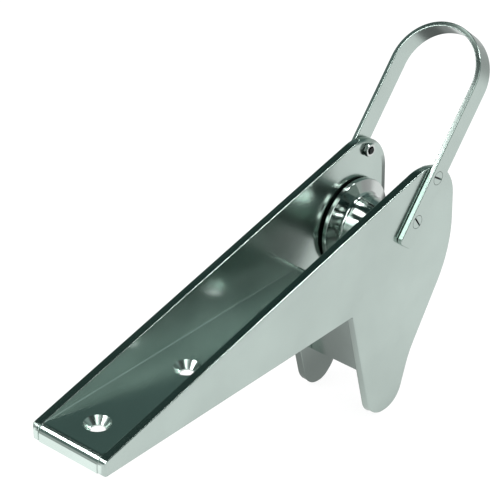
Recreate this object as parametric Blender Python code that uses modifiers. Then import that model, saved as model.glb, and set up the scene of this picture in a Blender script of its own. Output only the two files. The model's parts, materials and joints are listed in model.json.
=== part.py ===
"""Bow roller for anchor chain or rope, in polished stainless steel.

Two cheek plates carry a folded floor plate, a spool-shaped roller on a fixed axle and a strap bail.
Frame: +X points outboard over the bow, +Y to port, +Z up. The origin lies on the deck, on the
centre plane, at the inboard end. The roller turns about an axis parallel to Y.
"""
import math

import bmesh
import bpy
from mathutils import Matrix, Vector

MM = 0.001

# Fits
SEAT_GAP = 0.3 * MM            # between pieces that touch or pass through one another

# Cheeks
OVERALL_WIDTH = 60 * MM        # over the outer faces of the cheeks
CHEEK_THICKNESS = 6 * MM
CHEEK_LENGTH = 320.8 * MM      # inboard end to outboard edge
TOP_EDGE_RISE = 12.9           # degrees from level
TOP_EDGE_START = 10 * MM       # height of the top edge at the inboard end
FANG_SETBACK = 99.3 * MM       # where the bottom edge turns down, from the outboard edge
FANG_DEPTH = 88.6 * MM         # below the deck face
FANG_INNER_SLOPE = 12.5        # degrees from vertical, inboard edge of the fang
FANG_TIP_WIDTH = 26.5 * MM     # along the tip, between its corners
FANG_TIP_SLOPE = 20.0          # degrees from vertical, outboard edge near the tip
FANG_KNEE_HEIGHT = 32.6 * MM   # tip to the knee in the outboard edge
FANG_OUTER_SLOPE = 34.0        # degrees from vertical, outboard edge above the knee
HEEL_RADIUS = 5 * MM
NOTCH_RADIUS = 2.5 * MM
FANG_TIP_RADIUS = 16.5 * MM
KNEE_RADIUS = 60 * MM
SHOULDER_RADIUS = 78 * MM
HEAD_RADIUS = 30 * MM
FOOT_RADIUS = 1.5 * MM
LEAD_IN_WIDTH = 6 * MM         # bevel on the inner side of the outboard edge
LEAD_IN_DEPTH = 1.8 * MM
EDGE_ROUND = 0.7 * MM          # broken edges of the plates
HEEL_EDGE_ROUND = 3.5 * MM     # upright outer corner at the inboard end

# Floor plate, one folded sheet: end flange, floor and apron
FLOOR_THICKNESS = 5 * MM
FLOOR_TOP = 11 * MM
FOLD_RADIUS = 6 * MM           # outside radius of the inboard fold
BEND_RADIUS = 10 * MM          # outside radius of the bend into the apron
APRON_SETBACK = 10.6 * MM      # apron's inboard face behind the fang's inboard edge
APRON_DEPTH = 59 * MM          # lower edge below the deck face
APRON_SLOPE = FANG_INNER_SLOPE
FLOOR_EDGE_ROUND = 0.5 * MM

# Deck bolts, countersunk M8
BOLT_HOLE_DIAMETER = 9 * MM
BOLT_HEAD_DIAMETER = 17.2 * MM
FIRST_BOLT_X = 25.3 * MM
BOLT_PITCH = 76 * MM
LAST_BOLT_MARGIN = 25 * MM     # least room between the last bolt and the fang

# Roller on its axle
AXLE_SETBACK = 37.6 * MM       # from the outboard edge
AXLE_Z = 20.8 * MM
AXLE_DIAMETER = 14 * MM
AXLE_SOCKET_DEPTH = 3 * MM     # blind sockets in the inner faces of the cheeks
FLANGE_DIAMETER = 62 * MM
CORE_DIAMETER = 43 * MM
CORE_WAIST = 1.0 * MM          # how much the core dips at its middle, on the radius
FLANGE_CLEARANCE = 1.0 * MM    # flange to cheek
FLANGE_RIM = 3.6 * MM          # thickness at the rim
FLANGE_TAPER = 2.4 * MM        # how much thicker the flange is at its root
ROOT_RADIUS = 3.5 * MM         # fillet between flange and core
RIM_ROUND = 0.8 * MM
BUSH_WALL = 3 * MM
BUSH_SPACING = 8.8 * MM        # between the two bushes
WASHER_THICKNESS = 1.0 * MM
WASHER_DIAMETER = 27 * MM
HUB_RECESS_CLEARANCE = 1.0 * MM

# Bail, a flat strap bent over the channel and screwed to the cheeks
BAIL_LEAN = 41.0               # degrees from vertical, outboard
STRAP_WIDTH = 15.2 * MM
STRAP_THICKNESS = 3.3 * MM
SCREW_SETBACK = 41.3 * MM      # lower screw from the outboard edge
SCREW_DROP = 29.5 * MM         # lower screw below the top edge
SCREW_PITCH = 30.5 * MM
STRAP_TAIL = 17.5 * MM         # strap end below the lower screw
LEG_LENGTH = 91.5 * MM           # lower screw to the start of the crown
STRAP_CORNER_RADIUS = 3.5 * MM
STRAP_EDGE_ROUND = 0.5 * MM

# Bail screws and nuts, M5
SCREW_DIAMETER = 5 * MM
SCREW_HEAD_DIAMETER = 8.6 * MM
SCREW_HEAD_EDGE = 0.3 * MM     # straight edge of the head above its cone
SLOT_WIDTH = 1.2 * MM
SLOT_DEPTH = 1.0 * MM
UPPER_SLOT_ANGLE = 90.0        # degrees from the strap's length
LOWER_SLOT_ANGLE = 107.0
NUT_ACROSS_FLATS = 8 * MM
NUT_HEIGHT = 2.7 * MM
SCREW_POINT = 0.8 * MM         # thread showing past the nut

# Welds
WELD_LEG = 3.5 * MM
WELD_LENGTH = 28 * MM
FLOOR_WELD_COUNT = 4
FLOOR_WELD_MARGIN = 22 * MM    # first and last weld from the ends of the floor

# Facets
ROUND_STEPS = 32
ROLLER_STEPS = 48
CROWN_STEPS = 32
ARC_ROOM = 0.96                # share of an edge that the arcs at its two ends may take
CUTTER_OVERRUN = 2 * MM

# Worked out from the sizes above
NOTCH_X = CHEEK_LENGTH - FANG_SETBACK
AXLE_X = CHEEK_LENGTH - AXLE_SETBACK
LOWER_SCREW_X = CHEEK_LENGTH - SCREW_SETBACK
LOWER_SCREW_Z = TOP_EDGE_START + LOWER_SCREW_X * math.tan(math.radians(TOP_EDGE_RISE)) - SCREW_DROP
BOLT_COUNT = int((NOTCH_X - FIRST_BOLT_X - LAST_BOLT_MARGIN) / BOLT_PITCH) + 1
OUTER_FACE = OVERALL_WIDTH / 2
INNER_FACE = OUTER_FACE - CHEEK_THICKNESS
HUB_FACE = INNER_FACE - WASHER_THICKNESS - 2 * SEAT_GAP
FLANGE_FACE = INNER_FACE - FLANGE_CLEARANCE
STRAP_INNER_FACE = OUTER_FACE + SEAT_GAP
STRAP_OUTER_FACE = STRAP_INNER_FACE + STRAP_THICKNESS
APRON_DROP = math.tan(math.radians(APRON_SLOPE))
FACE_TO_FACE = FLOOR_THICKNESS / math.cos(math.radians(APRON_SLOPE))
APRON_FACE_X = NOTCH_X + (APRON_SETBACK / math.cos(math.radians(APRON_SLOPE))) + FACE_TO_FACE


def collection(name, hidden=False):
    """A collection in the scene; a hidden one holds cutters."""
    made = bpy.data.collections.new(name)
    bpy.context.scene.collection.children.link(made)
    made.hide_render = hidden
    return made


def metal(name, color, roughness, metallic=1.0):
    """A material with its colour, roughness and metallic value on a Principled BSDF."""
    made = bpy.data.materials.new(name)
    made.use_nodes = True
    shader = made.node_tree.nodes["Principled BSDF"]
    shader.inputs["Base Color"].default_value = (*color, 1)
    shader.inputs["Roughness"].default_value = roughness
    shader.inputs["Metallic"].default_value = metallic
    made.diffuse_color = (*color, 1)
    return made


def add_object(name, bm, material=None, parent=None):
    """Turns a bmesh into an object with outward faces."""
    bmesh.ops.recalc_face_normals(bm, faces=bm.faces)
    mesh = bpy.data.meshes.new(name)
    bm.to_mesh(mesh)
    bm.free()
    return place(name, mesh, material, parent)


def place(name, mesh, material=None, parent=None):
    """Links a mesh as an object: into the part, or with no material into the cutters."""
    obj = bpy.data.objects.new(name, mesh)
    if material is None:
        CUTTERS.objects.link(obj)
        obj.hide_render = True
        obj.display_type = "WIRE"
    else:
        PART.objects.link(obj)
        mesh.materials.append(material)
    if parent is not None:
        obj.parent = parent
    return obj


def empty(name, location, rotation=(0, 0, 0)):
    """An empty that carries pieces about an axis or in a slanted frame."""
    obj = bpy.data.objects.new(name, None)
    PART.objects.link(obj)
    obj.location = location
    obj.rotation_euler = rotation
    obj.empty_display_size = 0.02
    return obj


def bevel(obj, width, segments=1, angle=30.0):
    """Rounds or breaks an object's sharp edges."""
    mod = obj.modifiers.new("Bevel", "BEVEL")
    mod.width = width
    mod.segments = segments
    mod.limit_method = "ANGLE"
    mod.angle_limit = math.radians(angle)
    mod.use_clamp_overlap = False


def cut(obj, cutter):
    """Takes the cutter's shape out of the object."""
    mod = obj.modifiers.new("Cut " + cutter.name, "BOOLEAN")
    mod.operation = "DIFFERENCE"
    mod.solver = "EXACT"
    mod.object = cutter


def turned(name, profile, steps, material=None, parent=None, closed=False):
    """Revolves a profile of (radius, height) points about local Z.

    The profile runs down the outer side, from top to bottom. A closed one makes a ring."""
    mesh = bpy.data.meshes.new(name)
    count = len(profile)
    edges = [(i, i + 1) for i in range(count - 1)]
    if closed:
        edges.append((count - 1, 0))
    mesh.from_pydata([(radius, 0, height) for radius, height in profile], edges, [])
    obj = place(name, mesh, material, parent)
    mod = obj.modifiers.new("Turn", "SCREW")
    mod.axis = "Z"
    mod.angle = 2 * math.pi
    mod.steps = steps
    mod.render_steps = steps
    mod.use_merge_vertices = True
    mod.merge_threshold = 0.000001
    mod.use_smooth_shade = True
    return obj


def arc(center, radius, start, end, steps):
    """Points on an arc, angles in degrees, both ends included."""
    angles = [math.radians(start + (end - start) * i / steps) for i in range(steps + 1)]
    return [(center[0] + radius * math.cos(a), center[1] + radius * math.sin(a)) for a in angles]


def rounded(corners, closed=True):
    """An outline through corners of (x, z, radius, steps), with each corner turned as an arc.

    Two arcs that would meet on the edge between them are both made smaller."""
    count = len(corners)
    spots = [Vector(corner[:2]) for corner in corners]
    turned_corners = range(count) if closed else range(1, count - 1)
    half, reach = [0.0] * count, [0.0] * count
    for i in turned_corners:
        back, ahead = spots[i - 1] - spots[i], spots[(i + 1) % count] - spots[i]
        half[i] = back.angle(ahead) / 2
        reach[i] = corners[i][2] / math.tan(half[i])
    fitted = list(reach)
    for i in range(count if closed else count - 1):
        j = (i + 1) % count
        room = ARC_ROOM * (spots[j] - spots[i]).length
        if reach[i] + reach[j] > room:
            share = room / (reach[i] + reach[j])
            fitted[i] = min(fitted[i], reach[i] * share)
            fitted[j] = min(fitted[j], reach[j] * share)
    points = []
    for i in range(count):
        if i not in turned_corners:
            points.append(spots[i])
            continue
        back = (spots[i - 1] - spots[i]).normalized()
        ahead = (spots[(i + 1) % count] - spots[i]).normalized()
        centre = spots[i] + (back + ahead).normalized() * (fitted[i] / math.cos(half[i]))
        first = spots[i] + back * fitted[i] - centre
        last = spots[i] + ahead * fitted[i] - centre
        sweep, steps = first.angle_signed(last), corners[i][3]
        points += [centre + Matrix.Rotation(-sweep * step / steps, 2) @ first for step in range(steps + 1)]
    return [(p.x, p.y) for p in points]


def crossing(point, slope, other, other_slope):
    """Where two lines meet; slopes are in degrees from the X axis."""
    a = Vector((math.cos(math.radians(slope)), math.sin(math.radians(slope))))
    b = Vector((math.cos(math.radians(other_slope)), math.sin(math.radians(other_slope))))
    gap = Vector(other) - Vector(point)
    along = (gap.x * b.y - gap.y * b.x) / (a.x * b.y - a.y * b.x)
    return Vector(point) + a * along


def loft(sections):
    """A solid through closed sections of (y, points) with as many points each."""
    bm = bmesh.new()
    rings = [[bm.verts.new((x, y, z)) for x, z in points] for y, points in sections]
    count = len(rings[0])
    for lower, upper in zip(rings, rings[1:]):
        for i in range(count):
            j = (i + 1) % count
            bm.faces.new((lower[i], lower[j], upper[j], upper[i]))
    bm.faces.new(rings[0])
    bm.faces.new(rings[-1])
    return bm


def cylinder_cutter(name, radius, start, end, axis="Y", steps=ROUND_STEPS, parent=None):
    """A round cutter from start to end along Y or Z."""
    length = (Vector(end) - Vector(start)).length
    bm = bmesh.new()
    bmesh.ops.create_cone(bm, cap_ends=True, segments=steps, radius1=radius, radius2=radius, depth=length)
    if axis == "Y":
        bmesh.ops.rotate(bm, verts=bm.verts, matrix=Matrix.Rotation(math.radians(90), 3, "X"))
    cutter = add_object(name, bm, parent=parent)
    cutter.location = (Vector(start) + Vector(end)) / 2
    return cutter


def cheek_outline(inset):
    """The cheek's outline, with its outboard edge moved inboard by the inset."""
    edge = CHEEK_LENGTH - inset
    tip_inner = crossing((NOTCH_X, 0), 270 + FANG_INNER_SLOPE, (0, -FANG_DEPTH), 0)
    tip_outer = tip_inner + Vector((FANG_TIP_WIDTH, 0))
    knee_reach = FANG_KNEE_HEIGHT * math.tan(math.radians(FANG_TIP_SLOPE))
    knee = tip_outer + Vector((knee_reach, FANG_KNEE_HEIGHT))
    near_tip = (90 - FANG_TIP_SLOPE, tip_outer - Vector((inset / math.cos(math.radians(FANG_TIP_SLOPE)), 0)))
    above_knee = (90 - FANG_OUTER_SLOPE, knee - Vector((inset / math.cos(math.radians(FANG_OUTER_SLOPE)), 0)))
    knee_corner = crossing(near_tip[1], near_tip[0], above_knee[1], above_knee[0])
    shoulder = crossing(above_knee[1], above_knee[0], (edge, 0), 90)
    head = crossing((0, TOP_EDGE_START), TOP_EDGE_RISE, (edge, 0), 90)
    return rounded([
        (0, 0, FOOT_RADIUS, 2),
        (NOTCH_X, 0, NOTCH_RADIUS, 5),
        (*tip_inner, FANG_TIP_RADIUS, 10),
        (*near_tip[1], FANG_TIP_RADIUS - inset / 2, 10),
        (*knee_corner, KNEE_RADIUS, 4),
        (*shoulder, SHOULDER_RADIUS, 8),
        (*head, HEAD_RADIUS - inset / 2, 18),
        (0, TOP_EDGE_START, HEEL_RADIUS, 5)])


def heel_cutter(side_name, side):
    """Takes the upright outer corner of a cheek off to a radius at its inboard end."""
    low, high = -CUTTER_OVERRUN, OUTER_FACE + CUTTER_OVERRUN
    centre = (HEEL_EDGE_ROUND, OUTER_FACE - HEEL_EDGE_ROUND)
    outline = [(low, centre[1]), (low, high), (centre[0], high)]
    outline += arc(centre, HEEL_EDGE_ROUND, 90, 180, 5)
    bm = bmesh.new()
    rings = [[bm.verts.new((x, side * y, z)) for x, y in outline]
             for z in (-CUTTER_OVERRUN, TOP_EDGE_START + HEEL_EDGE_ROUND)]
    bm.faces.new(rings[0])
    bm.faces.new(rings[1])
    for i in range(len(outline)):
        j = (i + 1) % len(outline)
        bm.faces.new((rings[0][i], rings[0][j], rings[1][j], rings[1][i]))
    return add_object("cutter_heel_" + side_name, bm)


def cheek(side_name, side, material):
    """One cheek plate, with a lead-in bevel, a socket for the axle and holes for the bail screws."""
    full = cheek_outline(0)
    sections = [(side * OUTER_FACE, full),
                (side * (INNER_FACE + LEAD_IN_DEPTH), full),
                (side * INNER_FACE, cheek_outline(LEAD_IN_WIDTH))]
    obj = add_object(side_name + "_cheek", loft(sections), material)
    bevel(obj, EDGE_ROUND, segments=2)
    cut(obj, heel_cutter(side_name, side))
    axle_end = INNER_FACE + AXLE_SOCKET_DEPTH
    cut(obj, cylinder_cutter(
        "cutter_axle_socket_" + side_name, AXLE_DIAMETER / 2 + SEAT_GAP,
        (AXLE_X, side * (INNER_FACE - CUTTER_OVERRUN), AXLE_Z), (AXLE_X, side * axle_end, AXLE_Z)))
    for level, height in (("lower", 0), ("upper", SCREW_PITCH)):
        cut(obj, cylinder_cutter(
            "cutter_cheek_screw_%s_%s" % (side_name, level), SCREW_DIAMETER / 2 + SEAT_GAP,
            (0, side * (INNER_FACE - CUTTER_OVERRUN), height),
            (0, side * (OUTER_FACE + CUTTER_OVERRUN), height), parent=BAIL_FOOT, steps=24))
    return obj


def floor_plate(material):
    """The folded sheet: end flange at the inboard end, floor, and apron down between the fangs."""
    width = 2 * (INNER_FACE - SEAT_GAP)
    apron_foot = (APRON_FACE_X + APRON_DEPTH * APRON_DROP, -APRON_DEPTH)
    apron_head = (APRON_FACE_X - FLOOR_TOP * APRON_DROP, FLOOR_TOP)
    path = rounded([(0, 0, 0, 0), (0, FLOOR_TOP, FOLD_RADIUS, 6), (*apron_head, BEND_RADIUS, 8),
                    (*apron_foot, 0, 0)], closed=False)
    bm = bmesh.new()
    rows = [[bm.verts.new((x, y, z)) for y in (-width / 2, width / 2)] for x, z in path]
    for (a, b), (c, d) in zip(rows, rows[1:]):
        bm.faces.new((a, c, d, b))
    mesh = bpy.data.meshes.new("floor_plate")
    bm.to_mesh(mesh)
    bm.free()
    obj = place("floor_plate", mesh, material)
    shell = obj.modifiers.new("Sheet", "SOLIDIFY")
    shell.thickness = FLOOR_THICKNESS
    shell.offset = -1
    shell.use_even_offset = True
    bevel(obj, FLOOR_EDGE_ROUND, angle=50.0)
    sink = (BOLT_HEAD_DIAMETER - BOLT_HOLE_DIAMETER) / 2
    for number in range(BOLT_COUNT):
        head, hole = BOLT_HEAD_DIAMETER / 2, BOLT_HOLE_DIAMETER / 2
        profile = [(0, CUTTER_OVERRUN), (head + CUTTER_OVERRUN, CUTTER_OVERRUN), (hole, -sink),
                   (hole, -FLOOR_THICKNESS - CUTTER_OVERRUN), (0, -FLOOR_THICKNESS - CUTTER_OVERRUN)]
        cutter = turned("cutter_bolt_%d" % (number + 1), profile, ROUND_STEPS)
        cutter.location = (FIRST_BOLT_X + number * BOLT_PITCH, 0, FLOOR_TOP)
        cut(obj, cutter)
    return obj


def weld_bead(bm, start, end, leg_a, leg_b):
    """A fillet bead between two faces, along start to end, with its legs as vectors."""
    mid = (leg_a + leg_b) * 0.56
    ends = []
    for point in (start, end):
        ends.append([bm.verts.new(point + offset) for offset in (Vector(), leg_a, mid, leg_b)])
    for i in range(4):
        j = (i + 1) % 4
        bm.faces.new((ends[0][i], ends[0][j], ends[1][j], ends[1][i]))
    bm.faces.new(ends[0])
    bm.faces.new(ends[1])


def floor_weld(side_name, side, number, material):
    """One stitch weld in the corner between the floor's underside and a cheek."""
    y = side * (INNER_FACE - SEAT_GAP)
    z = FLOOR_TOP - FLOOR_THICKNESS - SEAT_GAP
    span = NOTCH_X - 2 * FLOOR_WELD_MARGIN - WELD_LENGTH
    x = FLOOR_WELD_MARGIN + span * number / (FLOOR_WELD_COUNT - 1)
    bm = bmesh.new()
    weld_bead(bm, Vector((x, y, z)), Vector((x + WELD_LENGTH, y, z)),
              Vector((0, -side * WELD_LEG, 0)), Vector((0, 0, -WELD_LEG)))
    add_object("floor_weld_%s_%d" % (side_name, number + 1), bm, material)


def apron_weld(side_name, side, material):
    """A bead down the corner between the apron's outboard face and a cheek."""
    slope = math.radians(APRON_SLOPE)
    outward = Vector((math.cos(slope), 0, math.sin(slope)))
    down = Vector((math.sin(slope), 0, -math.cos(slope)))
    corner = Vector((APRON_FACE_X, side * (INNER_FACE - SEAT_GAP), 0)) + outward * SEAT_GAP
    bm = bmesh.new()
    weld_bead(bm, corner + down * BEND_RADIUS, corner + down * (APRON_DEPTH - WELD_LEG),
              Vector((0, -side * WELD_LEG, 0)), outward * WELD_LEG)
    add_object("apron_weld_" + side_name, bm, material)


def bail(material):
    """The strap: two straight legs and a half-round crown, in the slanted frame of its screws."""
    crown = arc((0, LEG_LENGTH), STRAP_INNER_FACE, 180, 0, CROWN_STEPS)
    path = [(-STRAP_INNER_FACE, -STRAP_TAIL)] + crown + [(STRAP_INNER_FACE, -STRAP_TAIL)]
    bm = bmesh.new()
    rows = [[bm.verts.new((x, y, z)) for x in (-STRAP_WIDTH / 2, STRAP_WIDTH / 2)] for y, z in path]
    for (a, b), (c, d) in zip(rows, rows[1:]):
        bm.faces.new((a, c, d, b))
    bm.normal_update()
    corners = [v for v in bm.verts if v.co.z < -STRAP_TAIL / 2]
    bmesh.ops.bevel(bm, geom=corners, offset=STRAP_CORNER_RADIUS, segments=5, profile=0.5, affect="VERTICES")
    mesh = bpy.data.meshes.new("bail")
    bm.to_mesh(mesh)
    bm.free()
    obj = place("bail", mesh, material, BAIL_FOOT)
    strap = obj.modifiers.new("Strap", "SOLIDIFY")
    strap.thickness = STRAP_THICKNESS
    strap.offset = -1
    bevel(obj, STRAP_EDGE_ROUND, angle=50.0)
    return obj


def screw_profile(length, extra):
    """Half section of a countersunk screw with its flush face at height 0, grown by extra."""
    head = SCREW_HEAD_DIAMETER / 2 + extra
    shank = SCREW_DIAMETER / 2 + extra
    cone_end = -SCREW_HEAD_EDGE - (head - shank)
    return head, shank, cone_end, -length


def bail_screw(side_name, side, level, height, inner_end, slot_angle, material):
    """A slotted countersunk screw through the strap and the cheek."""
    length = STRAP_OUTER_FACE - inner_end
    head, shank, cone_end, tip = screw_profile(length, 0)
    chamfer = SCREW_POINT / 2
    profile = [(0, 0), (head, 0), (head, -SCREW_HEAD_EDGE), (shank, cone_end),
               (shank, tip + chamfer), (shank - chamfer, tip), (0, tip)]
    name = "bail_screw_%s_%s" % (side_name, level)
    obj = turned(name, profile, 24, material, BAIL_FOOT)
    obj.location = (0, side * STRAP_OUTER_FACE, height)
    obj.rotation_euler = (math.radians(-90 * side), 0, 0)
    bm = bmesh.new()
    bmesh.ops.create_cube(bm, size=1)
    size = (SLOT_WIDTH, 2 * SLOT_DEPTH, SCREW_HEAD_DIAMETER + CUTTER_OVERRUN)
    bmesh.ops.scale(bm, verts=bm.verts, vec=size)
    slot = add_object("cutter_slot_%s_%s" % (side_name, level), bm, parent=BAIL_FOOT)
    slot.location = obj.location
    slot.rotation_euler = (0, math.radians(slot_angle), 0)
    cut(obj, slot)
    clear_head, clear_shank, clear_cone, _ = screw_profile(length, SEAT_GAP)
    hole = [(0, CUTTER_OVERRUN), (clear_head, CUTTER_OVERRUN), (clear_head, -SCREW_HEAD_EDGE),
            (clear_shank, clear_cone), (clear_shank, -STRAP_THICKNESS - CUTTER_OVERRUN),
            (0, -STRAP_THICKNESS - CUTTER_OVERRUN)]
    cutter = turned("cutter_strap_%s_%s" % (side_name, level), hole, 24, parent=BAIL_FOOT)
    cutter.location = obj.location
    cutter.rotation_euler = obj.rotation_euler
    return cutter


def bail_nut(side_name, side, material):
    """A hexagon nut on the inner end of the upper screw, against the cheek."""
    bm = bmesh.new()
    radius = NUT_ACROSS_FLATS / 2 / math.cos(math.radians(30))
    bmesh.ops.create_cone(bm, cap_ends=True, segments=6, radius1=radius, radius2=radius, depth=NUT_HEIGHT)
    bmesh.ops.rotate(bm, verts=bm.verts, matrix=Matrix.Rotation(math.radians(90), 3, "X"))
    obj = add_object("bail_nut_" + side_name, bm, material, BAIL_FOOT)
    obj.location = (0, side * (INNER_FACE - SEAT_GAP - NUT_HEIGHT / 2), SCREW_PITCH)
    bevel(obj, STRAP_EDGE_ROUND, angle=70.0)
    reach = NUT_HEIGHT / 2 + CUTTER_OVERRUN
    y = obj.location.y
    cut(obj, cylinder_cutter("cutter_nut_" + side_name, SCREW_DIAMETER / 2 + SEAT_GAP,
                             (0, y - reach, SCREW_PITCH), (0, y + reach, SCREW_PITCH),
                             parent=BAIL_FOOT, steps=24))


def roller(material):
    """The spool: two flanges with rounded rims, filleted into a slightly waisted core."""
    rim, core = FLANGE_DIAMETER / 2, CORE_DIAMETER / 2
    bore = AXLE_DIAMETER / 2 + SEAT_GAP + BUSH_WALL + SEAT_GAP
    recess = WASHER_DIAMETER / 2 + HUB_RECESS_CLEARANCE
    inner_rim = FLANGE_FACE - FLANGE_RIM
    root = inner_rim - FLANGE_TAPER
    root_centre = (core + ROOT_RADIUS, root - ROOT_RADIUS)
    taper = math.degrees(math.atan2(FLANGE_TAPER, rim - core - ROOT_RADIUS))
    upper = [(recess, HUB_FACE), (recess, FLANGE_FACE)]
    upper += arc((rim - RIM_ROUND, FLANGE_FACE - RIM_ROUND), RIM_ROUND, 90, 0, 2)
    upper += arc((rim - RIM_ROUND, inner_rim + RIM_ROUND), RIM_ROUND, 0, -90 + taper, 2)
    upper += arc(root_centre, ROOT_RADIUS, 90 + taper, 180, 4)
    waist = [(core - CORE_WAIST * math.cos(math.pi / 2 * y), root_centre[1] * y) for y in (0.6, 0.25)]
    upper += waist
    lower = [(radius, -height) for radius, height in reversed(upper)]
    profile = [(bore, HUB_FACE)] + upper + lower + [(bore, -HUB_FACE)]
    obj = turned("roller", profile, ROLLER_STEPS, material, AXLE, closed=True)
    obj.rotation_euler = (math.radians(-90), 0, 0)


def roller_bush(side_name, side, material):
    """A plain bush in one end of the roller's bore."""
    inner = AXLE_DIAMETER / 2 + SEAT_GAP
    outer = inner + BUSH_WALL
    far, near = HUB_FACE, BUSH_SPACING / 2
    profile = [(inner, far), (outer, far), (outer, near), (inner, near)]
    obj = turned("roller_bush_" + side_name, profile, ROUND_STEPS, material, AXLE, closed=True)
    obj.rotation_euler = (math.radians(-90 * side), 0, 0)


def thrust_washer(side_name, side, material):
    """A thin washer between the roller's hub and the cheek."""
    inner = AXLE_DIAMETER / 2 + SEAT_GAP
    outer = WASHER_DIAMETER / 2
    far = INNER_FACE - SEAT_GAP
    near = far - WASHER_THICKNESS
    profile = [(inner, far), (outer, far), (outer, near), (inner, near)]
    obj = turned("thrust_washer_" + side_name, profile, ROUND_STEPS, material, AXLE, closed=True)
    obj.rotation_euler = (math.radians(-90 * side), 0, 0)


def axle_pin(material):
    """The fixed axle, seated at both ends in the cheeks' sockets."""
    radius = AXLE_DIAMETER / 2
    half = INNER_FACE + AXLE_SOCKET_DEPTH - SEAT_GAP
    chamfer = SEAT_GAP
    profile = [(0, half), (radius - chamfer, half), (radius, half - chamfer),
               (radius, -half + chamfer), (radius - chamfer, -half), (0, -half)]
    obj = turned("axle_pin", profile, ROUND_STEPS, material, AXLE)
    obj.rotation_euler = (math.radians(-90), 0, 0)


for leftover in list(bpy.data.objects):
    bpy.data.objects.remove(leftover)
PART = collection("bow_roller")
CUTTERS = collection("bow_roller_cutters", hidden=True)
AXLE = empty("axle_axis", (AXLE_X, 0, AXLE_Z))
BAIL_FOOT = empty("bail_foot", (LOWER_SCREW_X, 0, LOWER_SCREW_Z), (0, math.radians(BAIL_LEAN), 0))

POLISHED = metal("polished_stainless", (0.62, 0.66, 0.64), 0.18)
BRIGHT = metal("turned_stainless", (0.66, 0.69, 0.68), 0.12)
WELD = metal("weld_metal", (0.50, 0.50, 0.49), 0.38)
BRONZE = metal("bronze_bush", (0.55, 0.38, 0.18), 0.35)
ACETAL = metal("acetal_washer", (0.82, 0.82, 0.80), 0.45, metallic=0.0)

floor_plate(POLISHED)
axle_pin(BRIGHT)
roller(BRIGHT)
strap_object = bail(POLISHED)
nut_end = INNER_FACE - SEAT_GAP - NUT_HEIGHT - SCREW_POINT
for name, sign in (("starboard", -1), ("port", 1)):
    cheek(name, sign, POLISHED)
    apron_weld(name, sign, WELD)
    for stitch in range(FLOOR_WELD_COUNT):
        floor_weld(name, sign, stitch, WELD)
    roller_bush(name, sign, BRONZE)
    thrust_washer(name, sign, ACETAL)
    bail_nut(name, sign, BRIGHT)
    cut(strap_object, bail_screw(name, sign, "lower", 0, INNER_FACE, LOWER_SLOT_ANGLE, BRIGHT))
    cut(strap_object, bail_screw(name, sign, "upper", SCREW_PITCH, nut_end, UPPER_SLOT_ANGLE, BRIGHT))
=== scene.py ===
"""Looks for the bow roller: dressed copies of its solids, procedural metals, studio light and the camera.

Lengths are in metres, in the part's own frame: +X outboard, +Y to port, +Z up, deck level at Z = 0.
"""
import json
import math

import bmesh
import bpy
from mathutils import Matrix, Vector


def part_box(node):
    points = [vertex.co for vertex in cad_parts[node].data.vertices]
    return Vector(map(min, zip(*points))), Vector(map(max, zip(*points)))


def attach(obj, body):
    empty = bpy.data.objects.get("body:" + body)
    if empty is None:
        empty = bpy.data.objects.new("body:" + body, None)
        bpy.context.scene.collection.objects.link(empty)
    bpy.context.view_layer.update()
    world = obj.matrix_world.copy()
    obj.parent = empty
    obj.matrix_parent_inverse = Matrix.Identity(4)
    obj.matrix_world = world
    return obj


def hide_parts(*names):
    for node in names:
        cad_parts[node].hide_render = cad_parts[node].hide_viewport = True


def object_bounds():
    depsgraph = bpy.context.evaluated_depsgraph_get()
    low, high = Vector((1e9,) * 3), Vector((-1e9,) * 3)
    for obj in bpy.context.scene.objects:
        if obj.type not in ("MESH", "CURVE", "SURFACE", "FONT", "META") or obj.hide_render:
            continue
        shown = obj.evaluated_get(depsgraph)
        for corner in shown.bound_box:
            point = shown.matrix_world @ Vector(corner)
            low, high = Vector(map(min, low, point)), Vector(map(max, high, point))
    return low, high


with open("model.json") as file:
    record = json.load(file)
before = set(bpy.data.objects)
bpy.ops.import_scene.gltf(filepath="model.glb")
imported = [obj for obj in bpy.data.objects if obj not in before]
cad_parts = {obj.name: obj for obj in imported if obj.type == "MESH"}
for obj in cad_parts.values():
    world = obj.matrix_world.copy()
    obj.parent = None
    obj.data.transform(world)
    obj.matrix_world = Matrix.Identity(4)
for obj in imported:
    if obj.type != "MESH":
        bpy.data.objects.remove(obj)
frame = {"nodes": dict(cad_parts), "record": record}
CAD_BOX = [list(corner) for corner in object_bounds()]
SLOT_OF = {entry["node"]: entry["material_slot"] for entry in frame["record"]["subparts"]}
BODY_OF = {node: body for body, nodes in frame["record"]["behaviour"]["bodies"].items() for node in nodes}

# Camera, fitted to the photograph's edges
IMAGE_SIDE = 500.0              # pixels
FOCAL_PIXELS = 2507.0
SENSOR_WIDTH = 36.0             # millimetres
CAMERA_AZIMUTH = -48.08         # degrees; 0 looks along +Y
CAMERA_ELEVATION = 31.68
CAMERA_ROLL = -0.56
ORIGIN_PIXEL = (67.6, 458.1)    # where the frame's origin is seen
ORIGIN_DEPTH = 1.443            # from the camera, along its axis

# Studio floor
FLOOR_GAP = 0.0003              # below the part's lowest point
FLOOR_SIZE = 12.0
FLOOR_CENTRE_X = 0.3
FLOOR_COLOR = (0.80, 0.80, 0.80)
FLOOR_WHITE_SEEN = 0.8          # share of plain white in what the camera sees of the floor
FLOOR_WHITE_MIRRORED = 0.7      # the same in what the metal mirrors
CAMERA_GLOW = 1.12              # lifts the floor to white in the camera
FAR_FROM, FAR_TO = 0.55, 1.0    # from its centre, where painted shade darkens the mirrored floor
FAR_LEFT = 0.35                 # what that painted shade leaves of the glow
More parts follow.
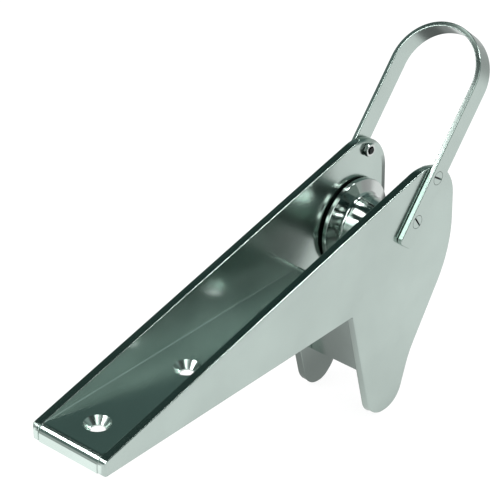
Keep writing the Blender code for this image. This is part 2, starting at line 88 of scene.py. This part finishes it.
# Ovals of painted shadow and painted light on the mirrored floor: centre, half sizes and the level in their
# middle
SHADOW_UNDER_PART = ((0.40, 0.07), (0.24, 0.11), 0.34)
SHADE_OUTBOARD = ((0.47, 0.02), (0.17, 0.06), 0.5)
SHADE_SEEN_BY_CROWN = ((0.80, 0.30), (0.18, 0.16), 0.20)
# a painted pool of light, brighter than the floor round it
LIGHT_POOL_SEEN_BY_FLANGE = ((-0.17, 0.15), (0.16, 0.14), 1.75)
OVAL_FADE = 0.2                 # half width of an oval's soft rim, as a share of its half sizes

# Sky, as the metal mirrors it
SKY_LOW = (0.50, 0.56, 0.53)
SKY_MID = (0.10, 0.157, 0.147)
SKY_HIGH = (0.015, 0.037, 0.032)
SKY_STOPS = [(0.0, SKY_LOW), (0.10, SKY_LOW), (0.35, SKY_MID), (0.58, SKY_MID), (0.70, SKY_HIGH)]
SKY_ON_FLOOR = (0.9, 0.9, 0.9)  # what lights the floor
# Patches: colour, heading, elevation, radius of the full core and of the faded edge, in degrees
SKY_PATCHES = [
    ((0.27, 0.36, 0.34), -42.0, 32.0, 14.0, 30.0),      # reaches the channel by way of the far cheek
    ((3.0, 3.2, 3.1), 122.0, 64.0, 6.0, 11.0),          # a reflector high on the left
    ((4.0, 4.3, 4.2), 205.0, 37.0, 9.0, 16.0),          # white boards on the left
    ((3.0, 3.2, 3.1), 214.0, 13.0, 7.0, 13.0),
    ((3.0, 3.2, 3.1), 232.0, 52.0, 7.0, 13.0),
    ((0.003, 0.008, 0.006), 226.0, 32.0, 9.0, 13.0),    # a dark screen between them
    ((0.003, 0.008, 0.006), -66.0, 44.0, 8.0, 13.0),    # mirrored in the deck bolt holes
]

# Lamps: name, heading and elevation in degrees, width, height and power in watts
LAMPS = [
    ("softbox_left", 149, 41, 0.8, 0.26, 7.5),
    ("seam_light", -26, 47, 0.26, 0.30, 3),             # mirrored along the floor's seam
    ("edge_light", -50, 60, 0.24, 0.30, 6),             # mirrored along the cheeks' top edges
]
LAMP_DISTANCE = 1.6

# Materials by slot: the look's name, colour, roughness and strength of the grain
STEEL = (0.475, 0.555, 0.52)
LOOKS = {
    "polished_stainless": ("polished_stainless_look", STEEL, 0.2, 0.006),
    "turned_stainless": ("turned_stainless_look", (0.56, 0.60, 0.58), 0.08, 0.02),
    "weld_metal": ("weld_look", (0.40, 0.42, 0.41), 0.35, 0.15),
    "bronze": ("bronze_look", (0.52, 0.34, 0.16), 0.3, 0.02),
    "acetal": ("acetal_look", (0.80, 0.80, 0.77), 0.45, 0.02),
}
SCREW_LOOK = ("screw_look", STEEL, 0.2, 0.02)
MOTTLE = 0.06                   # share by which the colour varies
MOTTLE_SCALE, MOTTLE_DETAIL = 22.0, 3.0
MOTTLE_STOPS = (0.3, 0.7)
GLOSS_RANGE = (0.85, 1.2)       # of the roughness
GRAIN_SCALE, GRAIN_DETAIL = 900.0, 2.0
GRAIN_HEIGHT = 0.0005
# Painted shade in the screws' slots and round their heads
SLOT_SHADE_COLOR = (0.012, 0.016, 0.015)
SLOT_SHADE_FULL, SLOT_SHADE_NONE = 0.00012, 0.00004               # depths below a screw's face where the painted shade is full and where it ends

# Dressed copies of the solids
DRESSED = ("starboard_cheek", "port_cheek", "floor_plate", "axle_pin", "roller_bush_starboard",
           "roller_bush_port", "thrust_washer_starboard", "thrust_washer_port")
MERGE_WITHIN = 0.000002
FLAT_WITHIN = 0.2               # degrees between facets of one flat face
SHARP_FROM = 35.0               # degrees
SHARP_FROM_CHEEK = 50.0         # above the folds of its broken edges
LEAD_IN_FOLD = (14.0, 20.0)     # between a cheek's face and its lead-in bevel
FACE_WEIGHT = 100               # how much large faces lead the shading

# Floor plate
FLOOR_SIDE_FROM = 0.0228        # from the centre plane; what lies further out is the plate's side
FLOOR_SEAM = 0.00025            # how far the sides are brought to the cheeks
FLOOR_EDGE_LEVEL = 0.0105       # lower rim of the floor's broken upper edges
FLOOR_EDGE_WITHIN = 0.0002
FLOOR_FILLET_LEVEL = 0.0115     # where that rim is brought, as the fillet in the corner

# Shapes that are turned or cut
TURN_STEPS = 64
FINE_STEPS = 160
CUT_PAST = 0.001                # how far a cutter stands out of what it cuts
SEAT_GAP = 0.0003               # clearance round the screws and the roller's bushes

# Strap bail
STRAP_WIDTH = 0.0152
STRAP_THICKNESS = 0.0033
STRAP_TAIL = 0.0175             # strap end below the lower screw
STRAP_CORNER_RADIUS = 0.0035
STRAP_CORNER_STEPS = 8
STRAP_EDGE_RADIUS = 0.0006
STRAP_EDGE_STEPS = 4
STRAP_EDGE_FROM = 50.0          # degrees
STRAP_EDGE_SLANT = 8.0          # degrees, which makes the outer face the narrower
STRAP_HOLE_DEPTH = 0.006
CROWN_STEPS = 64

# Screws and nuts
SCREW_HEAD_RADIUS = 0.0043
SCREW_RADIUS = 0.0025
SCREW_HEAD_EDGE = 0.0003
SLOT_WIDTH = 0.0012
SLOT_DEPTH = 0.0010
SLOT_ANGLES = {"upper": 84.0, "lower": 107.0}           # degrees from the strap's length
THREAD_PITCH = 0.0008
THREAD_ROOT_RADIUS = SCREW_RADIUS * 0.86
NUT_FACE = 0.9                  # share of the corner radius that the chamfer leaves flat
NUT_CHAMFER = 0.55              # its depth at the corners, as a share of the full one
NUT_CUTTER = 1.2                # outer radius of the chamfer's cutter, in corner radii
NUT_BORE_RADIUS = SCREW_RADIUS + 0.0003

# Roller
CORE_RADIUS = 0.0215
CORE_WAIST = 0.0010
WAIST_STEPS = 6
WAIST_STEP = 0.15               # of the core's half length
FLANGE_RIM = 0.0036
FLANGE_TAPER = 0.0024
ROOT_RADIUS = 0.0035
ROOT_STEPS = 14
RIM_ROUND = 0.0008
RIM_STEPS = 8
HUB_STEP = 0.0006               # hub faces stand in from the flange faces
WASHER_CLEARANCE = 0.001

# Welds
RIPPLE_PITCH = 0.0013
RIPPLE_STEPS = 6
RIPPLE_DEPTH = 0.16             # share of the bead's leg
RIPPLE_POWER = 0.6              # below 1, which makes the grooves narrow
BEAD_STEPS = 8
BEAD_THROAT = 0.80              # reach in the middle of the bead, in legs
BEAD_END = 0.25                 # the same at its ends, in full reaches
BEAD_END_GROWTH = 1.5
BEAD_SHARP_FROM = 60.0          # degrees
TOUCHING = 0.00001


class Nodes:
    """Short calls for building a material's node tree."""

    def __init__(self, tree):
        self.tree = tree
        self.links = tree.links

    def add(self, kind, inputs=None, **settings):
        node = self.tree.nodes.new(kind)
        for name, value in settings.items():
            setattr(node, name, value)
        for name, value in (inputs or {}).items():
            self.feed(node.inputs[name], value)
        return node

    def feed(self, socket, value):
        if isinstance(value, bpy.types.NodeSocket):
            self.links.new(value, socket)
        elif isinstance(value, tuple) and len(value) == 3 and socket.type == "RGBA":
            socket.default_value = (*value, 1)
        else:
            socket.default_value = value

    def math(self, operation, first, second=0.0):
        node = self.add("ShaderNodeMath", {0: first, 1: second}, operation=operation)
        return node.outputs[0]

    def vector_math(self, operation, output, *operands):
        node = self.add("ShaderNodeVectorMath", dict(enumerate(operands)), operation=operation)
        return node.outputs[output]

    def ramp(self, factor, stops):
        node = self.add("ShaderNodeValToRGB", {"Fac": factor})
        elements = node.color_ramp.elements
        while len(elements) < len(stops):
            elements.new(0.5)
        for element, (position, color) in zip(elements, stops):
            element.position = position
            element.color = (*color, 1)
        return node.outputs["Color"]

    def mixed(self, factor, first, second):
        node = self.add("ShaderNodeMixRGB", {"Fac": factor, "Color1": first, "Color2": second})
        return node.outputs["Color"]

    def noise(self, vector, scale, detail):
        node = self.add("ShaderNodeTexNoise", {"Vector": vector, "Scale": scale, "Detail": detail})
        return node.outputs["Fac"]

    def spread(self, factor, low, high):
        node = self.add("ShaderNodeMapRange", {"Value": factor, "To Min": low, "To Max": high})
        return node.outputs["Result"]

    def fade(self, value, none, full, shape="LINEAR"):
        """0 where the value is at none, rising to 1 at full."""
        node = self.add("ShaderNodeMapRange", {"Value": value, "From Min": none, "From Max": full},
                        interpolation_type=shape)
        return node.outputs["Result"]


def metal(name, color, roughness, grain):
    """A metal with a faint mottle in colour and gloss, and a fine grain in its surface."""
    material = bpy.data.materials.new(name)
    material.use_nodes = True
    n = Nodes(material.node_tree)
    shader = material.node_tree.nodes["Principled BSDF"]
    place = n.add("ShaderNodeTexCoord").outputs["Object"]
    mottle = n.noise(place, MOTTLE_SCALE, MOTTLE_DETAIL)
    tones = [tuple(channel * (1 + change) for channel in color) for change in (-MOTTLE, MOTTLE)]
    gloss = [roughness * share for share in GLOSS_RANGE]
    fine = n.noise(place, GRAIN_SCALE, GRAIN_DETAIL)
    bump = n.add("ShaderNodeBump", {"Height": fine, "Strength": grain, "Distance": GRAIN_HEIGHT})
    n.feed(shader.inputs["Base Color"], n.ramp(mottle, list(zip(MOTTLE_STOPS, tones))))
    n.feed(shader.inputs["Roughness"], n.spread(mottle, *gloss))
    n.feed(shader.inputs["Normal"], bump.outputs["Normal"])
    shader.inputs["Metallic"].default_value = 1.0
    return material


def paint_slot_shade(material, outer):
    """Paints shade into a screw's colour below its face, in the slot and round the head."""
    n = Nodes(material.node_tree)
    base = material.node_tree.nodes["Principled BSDF"].inputs["Base Color"]
    tone = base.links[0].from_socket
    place = n.add("ShaderNodeTexCoord").outputs["Object"]
    across = n.math("ABSOLUTE", n.add("ShaderNodeSeparateXYZ", {"Vector": place}).outputs["Y"])
    unshaded = n.fade(across, outer - SLOT_SHADE_FULL, outer - SLOT_SHADE_NONE)
    n.feed(base, n.mixed(unshaded, SLOT_SHADE_COLOR, tone))
    return material


def add_object(name, data):
    """Adds an object to the scene."""
    obj = bpy.data.objects.new(name, data)
    bpy.context.scene.collection.objects.link(obj)
    return obj


def add_mesh(name, bm):
    """A mesh from a bmesh, which is freed."""
    mesh = bpy.data.meshes.new(name)
    bm.to_mesh(mesh)
    bm.free()
    return mesh


def camera():
    """The photograph's camera, from its angles and from where it sees the origin."""
    azimuth, elevation = math.radians(CAMERA_AZIMUTH), math.radians(CAMERA_ELEVATION)
    forward = Vector((-math.sin(azimuth) * math.cos(elevation), math.cos(azimuth) * math.cos(elevation),
                      -math.sin(elevation)))
    right = forward.cross(Vector((0, 0, 1))).normalized()
    up = right.cross(forward)
    turn = Matrix.Rotation(-math.radians(CAMERA_ROLL), 3, forward)
    right, up = turn @ right, turn @ up
    across, down = [(pixel - IMAGE_SIDE / 2) * ORIGIN_DEPTH / FOCAL_PIXELS for pixel in ORIGIN_PIXEL]
    place = -(right * across - up * down + forward * ORIGIN_DEPTH)
    data = bpy.data.cameras.new("camera")
    data.sensor_width = SENSOR_WIDTH
    data.lens = SENSOR_WIDTH * FOCAL_PIXELS / IMAGE_SIDE
    obj = add_object("camera", data)
    rows = Matrix((right, up, -forward)).transposed()
    obj.matrix_world = Matrix.Translation(place) @ rows.to_4x4()
    bpy.context.scene.camera = obj


def oval(n, place, centre, reach):
    """1 in the middle of an oval on the floor, fading to 0 past its rim."""
    middle = (centre[0] - FLOOR_CENTRE_X, centre[1], 0)
    shifted = n.vector_math("SUBTRACT", "Vector", place, middle)
    unit = n.vector_math("DIVIDE", "Vector", shifted, (*reach, 1))
    radius = n.vector_math("LENGTH", "Value", unit)
    return n.fade(radius, 1 + OVAL_FADE, 1 - OVAL_FADE, "SMOOTHSTEP")


def floor_look():
    """Pale and diffuse, with a glow that is plain in the camera and carries painted shadow and painted light
    in what the metal mirrors.
    """
    material = bpy.data.materials.new("pale_floor")
    material.use_nodes = True
    n = Nodes(material.node_tree)
    n.tree.nodes.clear()
    path = n.add("ShaderNodeLightPath").outputs
    place = n.add("ShaderNodeTexCoord").outputs["Object"]
    # Painted shade on the floor as the metal mirrors it: darker far out, under and outboard of the part and
    # where the crown looks; painted light where the end flange looks
    level = n.spread(n.fade(n.vector_math("LENGTH", "Value", place), FAR_FROM, FAR_TO), 1.0, FAR_LEFT)
    shadow_under_part = oval(n, place, *SHADOW_UNDER_PART[:2])
    level = n.math("MULTIPLY", level, n.spread(shadow_under_part, 1.0, SHADOW_UNDER_PART[2]))
    for centre, reach, inside in (SHADE_OUTBOARD, SHADE_SEEN_BY_CROWN, LIGHT_POOL_SEEN_BY_FLANGE):
        level = n.math("MULTIPLY", level, n.spread(oval(n, place, centre, reach), 1.0, inside))
    strength = n.add("ShaderNodeMix", {"Factor": path["Is Glossy Ray"], 2: CAMERA_GLOW, 3: level},
                     data_type="FLOAT").outputs["Result"]
    seen = n.math("MULTIPLY", path["Is Camera Ray"], FLOOR_WHITE_SEEN)
    mirrored = n.math("MULTIPLY", path["Is Glossy Ray"], n.spread(shadow_under_part, FLOOR_WHITE_MIRRORED, 1.0))
    diffuse = n.add("ShaderNodeBsdfDiffuse", {"Color": FLOOR_COLOR}).outputs["BSDF"]
    glow = n.add("ShaderNodeEmission", {"Color": (1.0, 1.0, 1.0), "Strength": strength}).outputs["Emission"]
    share = n.math("MAXIMUM", seen, mirrored)
    mix = n.add("ShaderNodeMixShader", {0: share, 1: diffuse, 2: glow}).outputs["Shader"]
    n.add("ShaderNodeOutputMaterial", {"Surface": mix})
    return material


def floor():
    """A plain pale floor just under the lowest point, which keeps a faint shadow."""
    bm = bmesh.new()
    bmesh.ops.create_grid(bm, x_segments=1, y_segments=1, size=FLOOR_SIZE / 2)
    mesh = add_mesh("floor", bm)
    mesh.materials.append(floor_look())
    obj = add_object("floor", mesh)
    obj.location = (FLOOR_CENTRE_X, 0, CAD_BOX[0][2] - FLOOR_GAP)


def heading_to(heading, elevation):
    """The direction at a heading (from +X, anticlockwise) and an elevation."""
    h, e = math.radians(heading), math.radians(elevation)
    return Vector((math.cos(h) * math.cos(e), math.sin(h) * math.cos(e), math.sin(e)))


def sky():
    """White to the camera; to metal, pale at the horizon and dark overhead, with patches."""
    world = bpy.data.worlds.new("studio")
    bpy.context.scene.world = world
    world.use_nodes = True
    n = Nodes(world.node_tree)
    direction = n.add("ShaderNodeTexCoord").outputs["Generated"]
    height = n.add("ShaderNodeSeparateXYZ", {"Vector": direction}).outputs["Z"]
    tone = n.ramp(height, SKY_STOPS)
    for color, heading, elevation, core, edge in SKY_PATCHES:
        centre = tuple(heading_to(heading, elevation))
        near = n.vector_math("DOT_PRODUCT", "Value", direction, centre)
        inside = n.fade(near, math.cos(math.radians(edge)), math.cos(math.radians(core)), "SMOOTHSTEP")
        tone = n.mixed(inside, tone, color)
    path = n.add("ShaderNodeLightPath").outputs
    tone = n.mixed(path["Is Diffuse Ray"], tone, SKY_ON_FLOOR)
    tone = n.mixed(path["Is Camera Ray"], tone, (1.0, 1.0, 1.0))
    n.feed(world.node_tree.nodes["Background"].inputs["Color"], tone)


def softbox(name, heading, elevation, width, height, power):
    """An area lamp aimed at the part from a heading (from +X, anticlockwise) and an elevation."""
    middle = (Vector(CAD_BOX[0]) + Vector(CAD_BOX[1])) / 2
    data = bpy.data.lights.new(name, "AREA")
    data.shape = "RECTANGLE"
    data.size = width
    data.size_y = height
    data.energy = power
    obj = add_object(name, data)
    obj.location = middle + heading_to(heading, elevation) * LAMP_DISTANCE
    obj.rotation_euler = (middle - obj.location).to_track_quat("-Z", "Y").to_euler()


def add_piece(mesh, node, material):
    """Adds a mesh as the piece that takes a node's place and moves with its body."""
    mesh.materials.append(material)
    obj = add_object(node + "_skin", mesh)
    weigh = obj.modifiers.new("Normals", "WEIGHTED_NORMAL")
    weigh.keep_sharp = True
    weigh.weight = FACE_WEIGHT
    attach(obj, BODY_OF[node])
    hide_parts(node)


def close_seams(bm):
    """Brings the floor plate's sides to the cheeks, with a small fillet along its upper edges."""
    for vertex in bm.verts:
        if abs(vertex.co.y) > FLOOR_SIDE_FROM:
            vertex.co.y += math.copysign(FLOOR_SEAM, vertex.co.y)
            if abs(vertex.co.z - FLOOR_EDGE_LEVEL) < FLOOR_EDGE_WITHIN:
                vertex.co.z = FLOOR_FILLET_LEVEL


def dressed(node, material):
    """A copy of a solid with its facets shaded as the smooth or flat faces they stand for."""
    bm = bmesh.new()
    bm.from_mesh(frame["nodes"][node].data)
    bmesh.ops.remove_doubles(bm, verts=bm.verts, dist=MERGE_WITHIN)
    bmesh.ops.dissolve_limit(bm, angle_limit=math.radians(FLAT_WITHIN), verts=bm.verts, edges=bm.edges)
    if node == "floor_plate":
        close_seams(bm)
    limit = SHARP_FROM_CHEEK if node.endswith("cheek") else SHARP_FROM
    for face in bm.faces:
        face.smooth = True
    for edge in bm.edges:
        fold = math.degrees(edge.calc_face_angle(math.pi))
        edge.smooth = fold < limit and not LEAD_IN_FOLD[0] < fold < LEAD_IN_FOLD[1]
    add_piece(add_mesh(node + "_skin", bm), node, material)


def shaped(bm, node, material, sharp=SHARP_FROM):
    """Ends a piece that is built here: faces outward and smooth, edges sharp from an angle in degrees."""
    bmesh.ops.recalc_face_normals(bm, faces=bm.faces)
    for face in bm.faces:
        face.smooth = True
    mesh = add_mesh(node + "_skin", bm)
    mesh.set_sharp_from_angle(angle=math.radians(sharp))
    add_piece(mesh, node, material)


def modified(bm, *modifiers, cutters=()):
    """A bmesh after modifiers of (kind, settings), and after cutters, other bmeshes, are taken out."""
    main = add_object("stand_in", add_mesh("stand_in", bm))
    used = [main]
    for kind, settings in modifiers:
        modifier = main.modifiers.new(kind, kind)
        for key, value in settings.items():
            setattr(modifier, key, value)
    for cutter in cutters:
        tool = add_object("stand_in", add_mesh("stand_in", cutter))
        used.append(tool)
        modifier = main.modifiers.new("Cut", "BOOLEAN")
        modifier.operation = "DIFFERENCE"
        modifier.solver = "EXACT"
        modifier.object = tool
    graph = bpy.context.evaluated_depsgraph_get()
    result = bmesh.new()
    result.from_mesh(main.evaluated_get(graph).to_mesh())
    for obj in used:
        bpy.data.objects.remove(obj)
    return result


def revolved(profile, steps=TURN_STEPS, closed=False):
    """A profile of (radius, height) turned about Z; a closed one makes a ring."""
    bm = bmesh.new()
    rings = []
    for radius, height in profile:
        turn = [2 * math.pi * i / steps for i in range(steps if radius else 1)]
        rings.append([bm.verts.new((radius * math.cos(a), radius * math.sin(a), height)) for a in turn])
    pairs = list(zip(rings, rings[1:]))
    if closed:
        pairs.append((rings[-1], rings[0]))
    for first, second in pairs:
        for i in range(steps):
            j = i + 1
            corners = [first[i % len(first)], first[j % len(first)], second[j % len(second)],
                       second[i % len(second)]]
            around = list(dict.fromkeys(corners))
            if len(around) > 2:
                bm.faces.new(around)
    bmesh.ops.recalc_face_normals(bm, faces=bm.faces)
    return bm


def arc(centre, radius, start, end, steps):
    """Points on an arc, angles in degrees, both ends included."""
    angles = [math.radians(start + (end - start) * i / steps) for i in range(steps + 1)]
    return [(centre[0] + radius * math.cos(a), centre[1] + radius * math.sin(a)) for a in angles]


def middle_of(*nodes):
    """The middle of the box round some nodes."""
    boxes = [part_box(node) for node in nodes]
    low = Vector([min(box[0][i] for box in boxes) for i in range(3)])
    high = Vector([max(box[1][i] for box in boxes) for i in range(3)])
    return (low + high) / 2


def radius_of(node):
    """Radius of a round node on the axle."""
    low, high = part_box(node)
    return (high.x - low.x) / 2


def roller_skin(material):
    """The spool with fine facets, turned about the axle."""
    rim, hub = radius_of("roller"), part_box("roller")[1].y
    bore = radius_of("roller_bush_port") + SEAT_GAP
    recess = radius_of("thrust_washer_port") + WASHER_CLEARANCE
    face = hub - HUB_STEP
    inner_rim = face - FLANGE_RIM
    root_centre = (CORE_RADIUS + ROOT_RADIUS, inner_rim - FLANGE_TAPER - ROOT_RADIUS)
    taper = math.degrees(math.atan2(FLANGE_TAPER, rim - root_centre[0]))
    upper = [(recess, hub), (recess, face)]
    upper += arc((rim - RIM_ROUND, face - RIM_ROUND), RIM_ROUND, 90, 0, RIM_STEPS)
    upper += arc((rim - RIM_ROUND, inner_rim + RIM_ROUND), RIM_ROUND, 0, -90 + taper, RIM_STEPS)
    upper += arc(root_centre, ROOT_RADIUS, 90 + taper, 180, ROOT_STEPS)
    for step in range(WAIST_STEPS, -1, -1):
        share = WAIST_STEP * step
        upper.append((CORE_RADIUS - CORE_WAIST * math.cos(math.pi / 2 * share), root_centre[1] * share))
    lower = [(radius, -height) for radius, height in reversed(upper[:-1])]
    bm = revolved([(bore, hub)] + upper + lower + [(bore, -hub)], FINE_STEPS, closed=True)
    turn = Matrix.Rotation(math.radians(-90), 4, "X")
    bm.transform(Matrix.Translation(middle_of("roller")) @ turn)
    shaped(bm, "roller", material)


def bail_frame():
    """Foot of the bail between its lower screws, with local Z along the strap; and the screws' pitch."""
    lower = middle_of("bail_screw_starboard_lower", "bail_screw_port_lower")
    upper = middle_of("bail_screw_starboard_upper", "bail_screw_port_upper")
    along = upper - lower
    lean = math.atan2(along.x, along.z)
    return Matrix.Translation(lower) @ Matrix.Rotation(lean, 4, "Y"), along.length


def head_profile(length, extra):
    """Countersunk head and shank, flush face at height 0, grown by extra."""
    head, shank = SCREW_HEAD_RADIUS + extra, SCREW_RADIUS + extra
    return [(0, 0), (head, 0), (head, -SCREW_HEAD_EDGE), (shank, -SCREW_HEAD_EDGE - (head - shank)),
            (shank, -length), (0, -length)]


def in_strap(side, level, outer):
    """A screw's place: its face on the strap, its axis across the part."""
    height = SCREW_PITCH if level == "upper" else 0
    place = Matrix.Translation((0, side * outer, height)) @ Matrix.Rotation(math.radians(-90 * side), 4, "X")
    return BAIL_PLACE @ place


def bail_skin(material):
    """The strap, bent round its crown, with rounded edges and countersinks."""
    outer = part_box("bail")[1].y
    inner = outer - STRAP_THICKNESS
    reach = max((BAIL_PLACE.inverted() @ v.co).z for v in frame["nodes"]["bail"].data.vertices)
    leg = reach - outer
    crown = arc((0, leg), inner, 180, 0, CROWN_STEPS)
    path = [(-inner, -STRAP_TAIL)] + crown + [(inner, -STRAP_TAIL)]
    bm = bmesh.new()
    rows = [[bm.verts.new((x, y, z)) for x in (-STRAP_WIDTH / 2, STRAP_WIDTH / 2)] for y, z in path]
    for (a, b), (c, d) in zip(rows, rows[1:]):
        bm.faces.new((a, c, d, b))
    bm.normal_update()
    corners = [v for v in bm.verts if v.co.z < 0]
    bmesh.ops.bevel(bm, geom=corners, offset=STRAP_CORNER_RADIUS, segments=STRAP_CORNER_STEPS, profile=0.5,
                    affect="VERTICES")
    bm = modified(bm, ("SOLIDIFY", {"thickness": STRAP_THICKNESS, "offset": -1}))
    narrower = 1 - 2 * STRAP_THICKNESS * math.tan(math.radians(STRAP_EDGE_SLANT)) / STRAP_WIDTH
    for vertex in bm.verts:
        if math.hypot(vertex.co.y, max(vertex.co.z - leg, 0)) > (inner + outer) / 2:
            vertex.co.x *= narrower
    bm = modified(bm, ("BEVEL", {"width": STRAP_EDGE_RADIUS, "segments": STRAP_EDGE_STEPS,
                                 "limit_method": "ANGLE", "angle_limit": math.radians(STRAP_EDGE_FROM),
                                 "use_clamp_overlap": False}))
    bm.transform(BAIL_PLACE)
    mouth = [(0, CUT_PAST), (SCREW_HEAD_RADIUS + SEAT_GAP, CUT_PAST)]
    cutters = []
    for side in (-1, 1):
        for level in ("lower", "upper"):
            cutter = revolved(mouth + head_profile(STRAP_HOLE_DEPTH, SEAT_GAP)[1:])
            cutter.transform(in_strap(side, level, outer))
            cutters.append(cutter)
    shaped(modified(bm, cutters=cutters), "bail", material)


def screw_skin(node, side, level, material):
    """A slotted countersunk screw with rolled threads at its inner end."""
    low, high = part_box(node)
    outer = max(abs(low.y), abs(high.y))
    length = high.y - low.y
    profile = head_profile(length, 0)[:4]
    turns = int(length / 2 / THREAD_PITCH)
    start = -(length - turns * THREAD_PITCH) + THREAD_PITCH / 2
    for turn in range(turns - 1):
        top = start - turn * THREAD_PITCH
        profile += [(SCREW_RADIUS, top), (THREAD_ROOT_RADIUS, top - THREAD_PITCH / 2)]
    profile += [(THREAD_ROOT_RADIUS, -length), (0, -length)]
    slot = bmesh.new()
    size = Matrix.Diagonal((SLOT_WIDTH, SCREW_HEAD_RADIUS * 3, 2 * SLOT_DEPTH, 1))
    bmesh.ops.create_cube(slot, size=1, matrix=size)
    slot.transform(Matrix.Rotation(math.radians(side * SLOT_ANGLES[level]), 4, "Z"))
    bm = modified(revolved(profile), cutters=[slot])
    bm.transform(in_strap(side, level, outer))
    shaped(bm, node, material)


def nut_skin(node, material):
    """A hexagon nut with turned chamfers on its corners."""
    low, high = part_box(node)
    middle = (low + high) / 2
    height = high.y - low.y
    around = [v.co - middle for v in frame["nodes"][node].data.vertices]
    corner = max(math.hypot(point.x, point.z) for point in around)
    chamfer = corner * (1 - math.cos(math.radians(30)))
    inside, outside = corner * NUT_FACE, corner * NUT_CUTTER
    bm = bmesh.new()
    bmesh.ops.create_cone(bm, cap_ends=True, segments=6, radius1=corner, radius2=corner, depth=height)
    cutters = []
    for way in (-1, 1):
        past = height / 2 + CUT_PAST
        ring = [(inside, past), (outside, past), (outside, height / 2 - chamfer),
                (corner, height / 2 - chamfer * NUT_CHAMFER), (inside, height / 2)]
        cutters.append(revolved([(radius, way * level) for radius, level in ring], closed=True))
    bore = [(0, height), (NUT_BORE_RADIUS, height), (NUT_BORE_RADIUS, -height), (0, -height)]
    bm = modified(bm, cutters=cutters + [revolved(bore)])
    lean = BAIL_PLACE.to_3x3() @ Matrix.Rotation(math.radians(90), 3, "X")
    bm.transform(Matrix.Translation(middle) @ lean.to_4x4())
    shaped(bm, node, material)


def weld_skin(node, material):
    """A rippled fillet bead in the place of a plain one."""
    points = [v.co.copy() for v in frame["nodes"][node].data.vertices]
    side = 1 if sum(p.y for p in points) > 0 else -1
    wall = max(side * p.y for p in points)
    leg = wall - min(side * p.y for p in points)
    on_wall = [p for p in points if side * p.y > wall - TOUCHING]
    on_plate = [p for p in points if side * p.y < wall - leg + TOUCHING]
    axis = Vector((1, 0, 0))
    if node.startswith("apron"):
        # Down the cheek, from the corner's upper end to the outer lower end
        high, low = [pick(on_wall, key=lambda p: p.x - p.z) for pick in (min, max)]
        axis = (low - high).normalized()
    start = min(on_plate, key=axis.dot)
    length = (max(on_plate, key=axis.dot) - start).dot(axis)
    plate_leg = Vector((0, -side, 0))
    wall_leg = axis.cross(plate_leg)
    # The first vertex well off the corner tells which way the bead rises
    rises = [(p - start).dot(wall_leg) for p in on_wall]
    if next(rise for rise in rises if abs(rise) > leg / 2) < 0:
        wall_leg = -wall_leg
    corner = start - plate_leg * leg
    bm = bmesh.new()
    rings = []
    count = int(length / RIPPLE_PITCH) * RIPPLE_STEPS
    for i in range(count + 1):
        t = i / count
        ripple = abs(math.sin(math.pi * t * length / RIPPLE_PITCH)) ** RIPPLE_POWER
        taper = min(1.0, math.sqrt(min(t, 1 - t) * length / leg * BEAD_END_GROWTH) + BEAD_END)
        reach = leg * taper * (1 - RIPPLE_DEPTH * (1 - ripple))
        middle = corner + axis * (length * t)
        section = [middle]
        for step in range(BEAD_STEPS + 1):
            a = math.pi / 2 * step / BEAD_STEPS
            bulge = BEAD_THROAT + (1 - BEAD_THROAT) * abs(math.cos(2 * a))
            section.append(middle + (plate_leg * math.cos(a) + wall_leg * math.sin(a)) * (reach * bulge))
        rings.append([bm.verts.new(point) for point in section])
    for first, second in zip(rings, rings[1:]):
        for i in range(len(first)):
            j = (i + 1) % len(first)
            bm.faces.new((first[i], first[j], second[j], second[i]))
    bm.faces.new(rings[0])
    bm.faces.new(rings[-1])
    shaped(bm, node, material, BEAD_SHARP_FROM)


BAIL_PLACE, SCREW_PITCH = bail_frame()
materials = {slot: metal(*look) for slot, look in LOOKS.items()}
# screws with painted shade below their faces, in the slots and round the heads
screw_material = paint_slot_shade(metal(*SCREW_LOOK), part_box("bail")[1].y)
for node in DRESSED:
    dressed(node, materials[SLOT_OF[node]])
roller_skin(materials["turned_stainless"])
bail_skin(materials["polished_stainless"])
for side_name, side in (("starboard", -1), ("port", 1)):
    for level in ("lower", "upper"):
        screw_skin("bail_screw_%s_%s" % (side_name, level), side, level, screw_material)
    nut_skin("bail_nut_" + side_name, materials["turned_stainless"])
for node in sorted(SLOT_OF):
    if "weld" in node:
        weld_skin(node, materials["weld_metal"])

floor()
sky()
for lamp in LAMPS:
    softbox(*lamp)
camera()
bpy.context.scene.view_settings.view_transform = "Standard"
